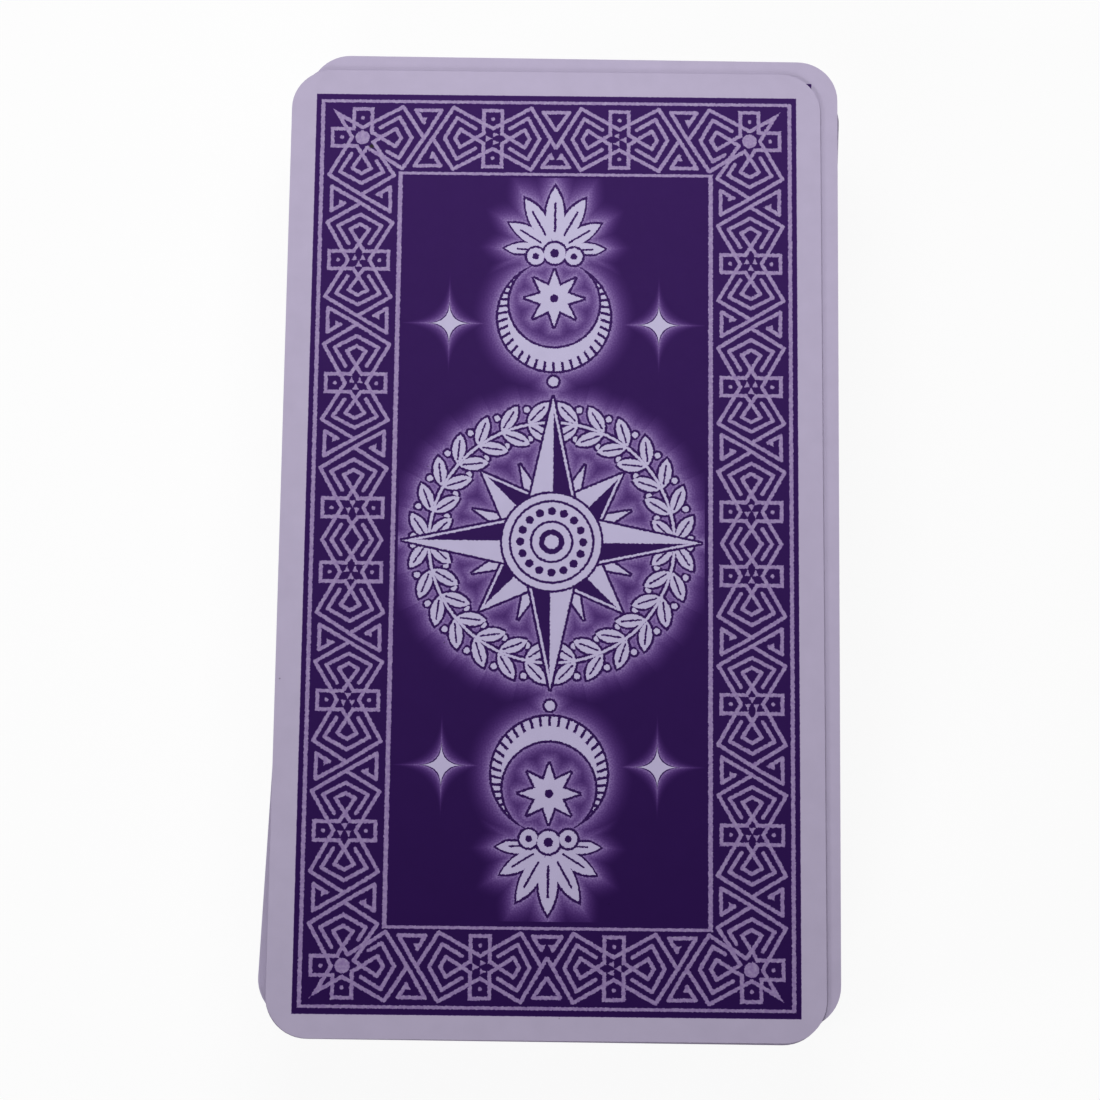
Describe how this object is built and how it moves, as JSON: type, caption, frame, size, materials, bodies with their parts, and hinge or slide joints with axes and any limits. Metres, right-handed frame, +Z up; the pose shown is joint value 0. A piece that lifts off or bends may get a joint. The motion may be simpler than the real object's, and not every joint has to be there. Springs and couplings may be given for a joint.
{
  "type": "tarot card deck",
  "caption": "Deck of tarot cards lying face down: rounded card-stock sheets with an ornamental purple back, stacked a little unevenly, that fan out and deal off the top.",
  "frame": {"origin": "underside of the lowest card, straight below the middle of the top card", "axes": "+Y along the top card's length, away from the viewer; +X to the viewer's right; +Z up out of the deck"},
  "size_m": [0.0701, 0.1228, 0.0273],
  "materials": {
    "card_stock": "coated card stock, satin, printed in one purple ink"
  },
  "bodies": {
    "trump_00_fool": {"trump_00_fool": "card_stock"},
    "trump_01_magician": {"trump_01_magician": "card_stock"},
    "trump_02_high_priestess": {"trump_02_high_priestess": "card_stock"},
    "trump_03_empress": {"trump_03_empress": "card_stock"},
    "trump_04_emperor": {"trump_04_emperor": "card_stock"},
    "trump_05_hierophant": {"trump_05_hierophant": "card_stock"},
    "trump_06_lovers": {"trump_06_lovers": "card_stock"},
    "trump_07_chariot": {"trump_07_chariot": "card_stock"},
    "trump_08_strength": {"trump_08_strength": "card_stock"},
    "trump_09_hermit": {"trump_09_hermit": "card_stock"},
    "trump_10_wheel_of_fortune": {"trump_10_wheel_of_fortune": "card_stock"},
    "trump_11_justice": {"trump_11_justice": "card_stock"},
    "trump_12_hanged_man": {"trump_12_hanged_man": "card_stock"},
    "trump_13_death": {"trump_13_death": "card_stock"},
    "trump_14_temperance": {"trump_14_temperance": "card_stock"},
    "trump_15_devil": {"trump_15_devil": "card_stock"},
    "trump_16_tower": {"trump_16_tower": "card_stock"},
    "trump_17_star": {"trump_17_star": "card_stock"},
    "trump_18_moon": {"trump_18_moon": "card_stock"},
    "trump_19_sun": {"trump_19_sun": "card_stock"},
    "trump_20_judgement": {"trump_20_judgement": "card_stock"},
    "trump_21_world": {"trump_21_world": "card_stock"},
    "wands_ace_and_two": {"wands_ace_and_two": "card_stock"},
    "wands_three_and_four": {"wands_three_and_four": "card_stock"},
    "wands_five_and_six": {"wands_five_and_six": "card_stock"},
    "wands_seven_and_eight": {"wands_seven_and_eight": "card_stock"},
    "wands_nine_and_ten": {"wands_nine_and_ten": "card_stock"},
    "wands_page": {"wands_page": "card_stock"},
    "wands_knight": {"wands_knight": "card_stock"},
    "wands_queen": {"wands_queen": "card_stock"},
    "wands_king": {"wands_king": "card_stock"},
    "cups_ace_and_two": {"cups_ace_and_two": "card_stock"},
    "cups_three_and_four": {"cups_three_and_four": "card_stock"},
    "cups_five_and_six": {"cups_five_and_six": "card_stock"},
    "cups_seven_and_eight": {"cups_seven_and_eight": "card_stock"},
    "cups_nine_and_ten": {"cups_nine_and_ten": "card_stock"},
    "cups_page": {"cups_page": "card_stock"},
    "cups_knight": {"cups_knight": "card_stock"},
    "cups_queen": {"cups_queen": "card_stock"},
    "cups_king": {"cups_king": "card_stock"},
    "swords_ace_and_two": {"swords_ace_and_two": "card_stock"},
    "swords_three_and_four": {"swords_three_and_four": "card_stock"},
    "swords_five_and_six": {"swords_five_and_six": "card_stock"},
    "swords_seven_and_eight": {"swords_seven_and_eight": "card_stock"},
    "swords_nine_and_ten": {"swords_nine_and_ten": "card_stock"},
    "swords_page": {"swords_page": "card_stock"},
    "swords_knight": {"swords_knight": "card_stock"},
    "swords_queen": {"swords_queen": "card_stock"},
    "swords_king": {"swords_king": "card_stock"},
    "coins_ace_and_two": {"coins_ace_and_two": "card_stock"},
    "coins_three_and_four": {"coins_three_and_four": "card_stock"},
    "coins_five_and_six": {"coins_five_and_six": "card_stock"},
    "coins_seven_and_eight": {"coins_seven_and_eight": "card_stock"},
    "coins_nine_and_ten": {"coins_nine_and_ten": "card_stock"},
    "coins_page": {"coins_page": "card_stock"},
    "coins_knight": {"coins_knight": "card_stock"},
    "coins_queen": {"coins_queen": "card_stock"},
    "coins_king": {"coins_king": "card_stock"}
  },
  "joints": [
    {"name": "fan_coins_queen", "type": "hinge", "parent": "coins_king", "child": "coins_queen", "pos_m": [0, -0.045, 0], "axis": [0, 0, 1], "range_deg": [0, 2]},
    {"name": "fan_coins_knight", "type": "hinge", "parent": "coins_king", "child": "coins_knight", "pos_m": [0, -0.045, 0], "axis": [0, 0, 1], "range_deg": [0, 4]},
    {"name": "fan_coins_page", "type": "hinge", "parent": "coins_king", "child": "coins_page", "pos_m": [0, -0.045, 0], "axis": [0, 0, 1], "range_deg": [0, 6]},
    {"name": "fan_coins_nine_and_ten", "type": "hinge", "parent": "coins_king", "child": "coins_nine_and_ten", "pos_m": [0, -0.045, 0], "axis": [0, 0, 1], "range_deg": [0, 8]},
    {"name": "fan_coins_seven_and_eight", "type": "hinge", "parent": "coins_king", "child": "coins_seven_and_eight", "pos_m": [0, -0.045, 0], "axis": [0, 0, 1], "range_deg": [0, 10]},
    {"name": "fan_coins_five_and_six", "type": "hinge", "parent": "coins_king", "child": "coins_five_and_six", "pos_m": [0, -0.045, 0], "axis": [0, 0, 1], "range_deg": [0, 12]},
    {"name": "fan_coins_three_and_four", "type": "hinge", "parent": "coins_king", "child": "coins_three_and_four", "pos_m": [0, -0.045, 0], "axis": [0, 0, 1], "range_deg": [0, 14]},
    {"name": "fan_coins_ace_and_two", "type": "hinge", "parent": "coins_king", "child": "coins_ace_and_two", "pos_m": [0, -0.045, 0], "axis": [0, 0, 1], "range_deg": [0, 16]},
    {"name": "fan_swords_king", "type": "hinge", "parent": "coins_king", "child": "swords_king", "pos_m": [0, -0.045, 0], "axis": [0, 0, 1], "range_deg": [0, 18]},
    {"name": "fan_swords_queen", "type": "hinge", "parent": "coins_king", "child": "swords_queen", "pos_m": [0, -0.045, 0], "axis": [0, 0, 1], "range_deg": [0, 20]},
    {"name": "fan_swords_knight", "type": "hinge", "parent": "coins_king", "child": "swords_knight", "pos_m": [0, -0.045, 0], "axis": [0, 0, 1], "range_deg": [0, 22]},
    {"name": "fan_swords_page", "type": "hinge", "parent": "coins_king", "child": "swords_page", "pos_m": [0, -0.045, 0], "axis": [0, 0, 1], "range_deg": [0, 24]},
    {"name": "fan_swords_nine_and_ten", "type": "hinge", "parent": "coins_king", "child": "swords_nine_and_ten", "pos_m": [0, -0.045, 0], "axis": [0, 0, 1], "range_deg": [0, 26]},
    {"name": "fan_swords_seven_and_eight", "type": "hinge", "parent": "coins_king", "child": "swords_seven_and_eight", "pos_m": [0, -0.045, 0], "axis": [0, 0, 1], "range_deg": [0, 28]},
    {"name": "fan_swords_five_and_six", "type": "hinge", "parent": "coins_king", "child": "swords_five_and_six", "pos_m": [0, -0.045, 0], "axis": [0, 0, 1], "range_deg": [0, 30]},
    {"name": "fan_swords_three_and_four", "type": "hinge", "parent": "coins_king", "child": "swords_three_and_four", "pos_m": [0, -0.045, 0], "axis": [0, 0, 1], "range_deg": [0, 32]},
    {"name": "fan_swords_ace_and_two", "type": "hinge", "parent": "coins_king", "child": "swords_ace_and_two", "pos_m": [0, -0.045, 0], "axis": [0, 0, 1], "range_deg": [0, 34]},
    {"name": "fan_cups_king", "type": "hinge", "parent": "coins_king", "child": "cups_king", "pos_m": [0, -0.045, 0], "axis": [0, 0, 1], "range_deg": [0, 36]},
    {"name": "fan_cups_queen", "type": "hinge", "parent": "coins_king", "child": "cups_queen", "pos_m": [0, -0.045, 0], "axis": [0, 0, 1], "range_deg": [0, 38]},
    {"name": "fan_cups_knight", "type": "hinge", "parent": "coins_king", "child": "cups_knight", "pos_m": [0, -0.045, 0], "axis": [0, 0, 1], "range_deg": [0, 40]},
    {"name": "fan_cups_page", "type": "hinge", "parent": "coins_king", "child": "cups_page", "pos_m": [0, -0.045, 0], "axis": [0, 0, 1], "range_deg": [0, 42]},
    {"name": "fan_cups_nine_and_ten", "type": "hinge", "parent": "coins_king", "child": "cups_nine_and_ten", "pos_m": [0, -0.045, 0], "axis": [0, 0, 1], "range_deg": [0, 44]},
    {"name": "fan_cups_seven_and_eight", "type": "hinge", "parent": "coins_king", "child": "cups_seven_and_eight", "pos_m": [0, -0.045, 0], "axis": [0, 0, 1], "range_deg": [0, 46]},
    {"name": "fan_cups_five_and_six", "type": "hinge", "parent": "coins_king", "child": "cups_five_and_six", "pos_m": [0, -0.045, 0], "axis": [0, 0, 1], "range_deg": [0, 48]},
    {"name": "fan_cups_three_and_four", "type": "hinge", "parent": "coins_king", "child": "cups_three_and_four", "pos_m": [0, -0.045, 0], "axis": [0, 0, 1], "range_deg": [0, 50]},
    {"name": "fan_cups_ace_and_two", "type": "hinge", "parent": "coins_king", "child": "cups_ace_and_two", "pos_m": [0, -0.045, 0], "axis": [0, 0, 1], "range_deg": [0, 52]},
    {"name": "fan_wands_king", "type": "hinge", "parent": "coins_king", "child": "wands_king", "pos_m": [0, -0.045, 0], "axis": [0, 0, 1], "range_deg": [0, 54]},
    {"name": "fan_wands_queen", "type": "hinge", "parent": "coins_king", "child": "wands_queen", "pos_m": [0, -0.045, 0], "axis": [0, 0, 1], "range_deg": [0, 56]},
    {"name": "fan_wands_knight", "type": "hinge", "parent": "coins_king", "child": "wands_knight", "pos_m": [0, -0.045, 0], "axis": [0, 0, 1], "range_deg": [0, 58]},
    {"name": "fan_wands_page", "type": "hinge", "parent": "coins_king", "child": "wands_page", "pos_m": [0, -0.045, 0], "axis": [0, 0, 1], "range_deg": [0, 60]},
    {"name": "fan_wands_nine_and_ten", "type": "hinge", "parent": "coins_king", "child": "wands_nine_and_ten", "pos_m": [0, -0.045, 0], "axis": [0, 0, 1], "range_deg": [0, 62]},
    {"name": "fan_wands_seven_and_eight", "type": "hinge", "parent": "coins_king", "child": "wands_seven_and_eight", "pos_m": [0, -0.045, 0], "axis": [0, 0, 1], "range_deg": [0, 64]},
    {"name": "fan_wands_five_and_six", "type": "hinge", "parent": "coins_king", "child": "wands_five_and_six", "pos_m": [0, -0.045, 0], "axis": [0, 0, 1], "range_deg": [0, 66]},
    {"name": "fan_wands_three_and_four", "type": "hinge", "parent": "coins_king", "child": "wands_three_and_four", "pos_m": [0, -0.045, 0], "axis": [0, 0, 1], "range_deg": [0, 68]},
    {"name": "fan_wands_ace_and_two", "type": "hinge", "parent": "coins_king", "child": "wands_ace_and_two", "pos_m": [0, -0.045, 0], "axis": [0, 0, 1], "range_deg": [0, 70]},
    {"name": "fan_trump_21_world", "type": "hinge", "parent": "coins_king", "child": "trump_21_world", "pos_m": [0, -0.045, 0], "axis": [0, 0, 1], "range_deg": [0, 72]},
    {"name": "fan_trump_20_judgement", "type": "hinge", "parent": "coins_king", "child": "trump_20_judgement", "pos_m": [0, -0.045, 0], "axis": [0, 0, 1], "range_deg": [0, 74]},
    {"name": "fan_trump_19_sun", "type": "hinge", "parent": "coins_king", "child": "trump_19_sun", "pos_m": [0, -0.045, 0], "axis": [0, 0, 1], "range_deg": [0, 76]},
    {"name": "fan_trump_18_moon", "type": "hinge", "parent": "coins_king", "child": "trump_18_moon", "pos_m": [0, -0.045, 0], "axis": [0, 0, 1], "range_deg": [0, 78]},
    {"name": "fan_trump_17_star", "type": "hinge", "parent": "coins_king", "child": "trump_17_star", "pos_m": [0, -0.045, 0], "axis": [0, 0, 1], "range_deg": [0, 80]},
    {"name": "fan_trump_16_tower", "type": "hinge", "parent": "coins_king", "child": "trump_16_tower", "pos_m": [0, -0.045, 0], "axis": [0, 0, 1], "range_deg": [0, 82]},
    {"name": "fan_trump_15_devil", "type": "hinge", "parent": "coins_king", "child": "trump_15_devil", "pos_m": [0, -0.045, 0], "axis": [0, 0, 1], "range_deg": [0, 84]},
    {"name": "fan_trump_14_temperance", "type": "hinge", "parent": "coins_king", "child": "trump_14_temperance", "pos_m": [0, -0.045, 0], "axis": [0, 0, 1], "range_deg": [0, 86]},
    {"name": "fan_trump_13_death", "type": "hinge", "parent": "coins_king", "child": "trump_13_death", "pos_m": [0, -0.045, 0], "axis": [0, 0, 1], "range_deg": [0, 88]},
    {"name": "fan_trump_12_hanged_man", "type": "hinge", "parent": "coins_king", "child": "trump_12_hanged_man", "pos_m": [0, -0.045, 0], "axis": [0, 0, 1], "range_deg": [0, 90]},
    {"name": "fan_trump_11_justice", "type": "hinge", "parent": "coins_king", "child": "trump_11_justice", "pos_m": [0, -0.045, 0], "axis": [0, 0, 1], "range_deg": [0, 92]},
    {"name": "fan_trump_10_wheel_of_fortune", "type": "hinge", "parent": "coins_king", "child": "trump_10_wheel_of_fortune", "pos_m": [0, -0.045, 0], "axis": [0, 0, 1], "range_deg": [0, 94]},
    {"name": "fan_trump_09_hermit", "type": "hinge", "parent": "coins_king", "child": "trump_09_hermit", "pos_m": [0, -0.045, 0], "axis": [0, 0, 1], "range_deg": [0, 96]},
    {"name": "fan_trump_08_strength", "type": "hinge", "parent": "coins_king", "child": "trump_08_strength", "pos_m": [0, -0.045, 0], "axis": [0, 0, 1], "range_deg": [0, 98]},
    {"name": "fan_trump_07_chariot", "type": "hinge", "parent": "coins_king", "child": "trump_07_chariot", "pos_m": [0, -0.045, 0], "axis": [0, 0, 1], "range_deg": [0, 100]},
    {"name": "fan_trump_06_lovers", "type": "hinge", "parent": "coins_king", "child": "trump_06_lovers", "pos_m": [0, -0.045, 0], "axis": [0, 0, 1], "range_deg": [0, 102]},
    {"name": "fan_trump_05_hierophant", "type": "hinge", "parent": "coins_king", "child": "trump_05_hierophant", "pos_m": [0, -0.045, 0], "axis": [0, 0, 1], "range_deg": [0, 104]},
    {"name": "fan_trump_04_emperor", "type": "hinge", "parent": "coins_king", "child": "trump_04_emperor", "pos_m": [0, -0.045, 0], "axis": [0, 0, 1], "range_deg": [0, 106]},
    {"name": "fan_trump_03_empress", "type": "hinge", "parent": "coins_king", "child": "trump_03_empress", "pos_m": [0, -0.045, 0], "axis": [0, 0, 1], "range_deg": [0, 108]},
    {"name": "fan_trump_02_high_priestess", "type": "hinge", "parent": "coins_king", "child": "trump_02_high_priestess", "pos_m": [0, -0.045, 0], "axis": [0, 0, 1], "range_deg": [0, 110]},
    {"name": "fan", "type": "hinge", "parent": "coins_king", "child": "trump_01_magician", "pos_m": [0, -0.045, 0], "axis": [0, 0, 1], "range_deg": [0, 112]},
    {"name": "draw_top_card", "type": "slide", "parent": "trump_01_magician", "child": "trump_00_fool", "axis": [0, 1, 0], "range_m": [0, 0.126]}
  ],
  "couplings": [
    {"joint": "fan_coins_queen", "follows": "fan", "ratio": 0.017857},
    {"joint": "fan_coins_knight", "follows": "fan", "ratio": 0.035714},
    {"joint": "fan_coins_page", "follows": "fan", "ratio": 0.053571},
    {"joint": "fan_coins_nine_and_ten", "follows": "fan", "ratio": 0.071429},
    {"joint": "fan_coins_seven_and_eight", "follows": "fan", "ratio": 0.089286},
    {"joint": "fan_coins_five_and_six", "follows": "fan", "ratio": 0.10714},
    {"joint": "fan_coins_three_and_four", "follows": "fan", "ratio": 0.125},
    {"joint": "fan_coins_ace_and_two", "follows": "fan", "ratio": 0.14286},
    {"joint": "fan_swords_king", "follows": "fan", "ratio": 0.16071},
    {"joint": "fan_swords_queen", "follows": "fan", "ratio": 0.17857},
    {"joint": "fan_swords_knight", "follows": "fan", "ratio": 0.19643},
    {"joint": "fan_swords_page", "follows": "fan", "ratio": 0.21429},
    {"joint": "fan_swords_nine_and_ten", "follows": "fan", "ratio": 0.23214},
    {"joint": "fan_swords_seven_and_eight", "follows": "fan", "ratio": 0.25},
    {"joint": "fan_swords_five_and_six", "follows": "fan", "ratio": 0.26786},
    {"joint": "fan_swords_three_and_four", "follows": "fan", "ratio": 0.28571},
    {"joint": "fan_swords_ace_and_two", "follows": "fan", "ratio": 0.30357},
    {"joint": "fan_cups_king", "follows": "fan", "ratio": 0.32143},
    {"joint": "fan_cups_queen", "follows": "fan", "ratio": 0.33929},
    {"joint": "fan_cups_knight", "follows": "fan", "ratio": 0.35714},
    {"joint": "fan_cups_page", "follows": "fan", "ratio": 0.375},
    {"joint": "fan_cups_nine_and_ten", "follows": "fan", "ratio": 0.39286},
    {"joint": "fan_cups_seven_and_eight", "follows": "fan", "ratio": 0.41071},
    {"joint": "fan_cups_five_and_six", "follows": "fan", "ratio": 0.42857},
    {"joint": "fan_cups_three_and_four", "follows": "fan", "ratio": 0.44643},
    {"joint": "fan_cups_ace_and_two", "follows": "fan", "ratio": 0.46429},
    {"joint": "fan_wands_king", "follows": "fan", "ratio": 0.48214},
    {"joint": "fan_wands_queen", "follows": "fan", "ratio": 0.5},
    {"joint": "fan_wands_knight", "follows": "fan", "ratio": 0.51786},
    {"joint": "fan_wands_page", "follows": "fan", "ratio": 0.53571},
    {"joint": "fan_wands_nine_and_ten", "follows": "fan", "ratio": 0.55357},
    {"joint": "fan_wands_seven_and_eight", "follows": "fan", "ratio": 0.57143},
    {"joint": "fan_wands_five_and_six", "follows": "fan", "ratio": 0.58929},
    {"joint": "fan_wands_three_and_four", "follows": "fan", "ratio": 0.60714},
    {"joint": "fan_wands_ace_and_two", "follows": "fan", "ratio": 0.625},
    {"joint": "fan_trump_21_world", "follows": "fan", "ratio": 0.64286},
    {"joint": "fan_trump_20_judgement", "follows": "fan", "ratio": 0.66071},
    {"joint": "fan_trump_19_sun", "follows": "fan", "ratio": 0.67857},
    {"joint": "fan_trump_18_moon", "follows": "fan", "ratio": 0.69643},
    {"joint": "fan_trump_17_star", "follows": "fan", "ratio": 0.71429},
    {"joint": "fan_trump_16_tower", "follows": "fan", "ratio": 0.73214},
    {"joint": "fan_trump_15_devil", "follows": "fan", "ratio": 0.75},
    {"joint": "fan_trump_14_temperance", "follows": "fan", "ratio": 0.76786},
    {"joint": "fan_trump_13_death", "follows": "fan", "ratio": 0.78571},
    {"joint": "fan_trump_12_hanged_man", "follows": "fan", "ratio": 0.80357},
    {"joint": "fan_trump_11_justice", "follows": "fan", "ratio": 0.82143},
    {"joint": "fan_trump_10_wheel_of_fortune", "follows": "fan", "ratio": 0.83929},
    {"joint": "fan_trump_09_hermit", "follows": "fan", "ratio": 0.85714},
    {"joint": "fan_trump_08_strength", "follows": "fan", "ratio": 0.875},
    {"joint": "fan_trump_07_chariot", "follows": "fan", "ratio": 0.89286},
    {"joint": "fan_trump_06_lovers", "follows": "fan", "ratio": 0.91071},
    {"joint": "fan_trump_05_hierophant", "follows": "fan", "ratio": 0.92857},
    {"joint": "fan_trump_04_emperor", "follows": "fan", "ratio": 0.94643},
    {"joint": "fan_trump_03_empress", "follows": "fan", "ratio": 0.96429},
    {"joint": "fan_trump_02_high_priestess", "follows": "fan", "ratio": 0.98214}
  ]
}
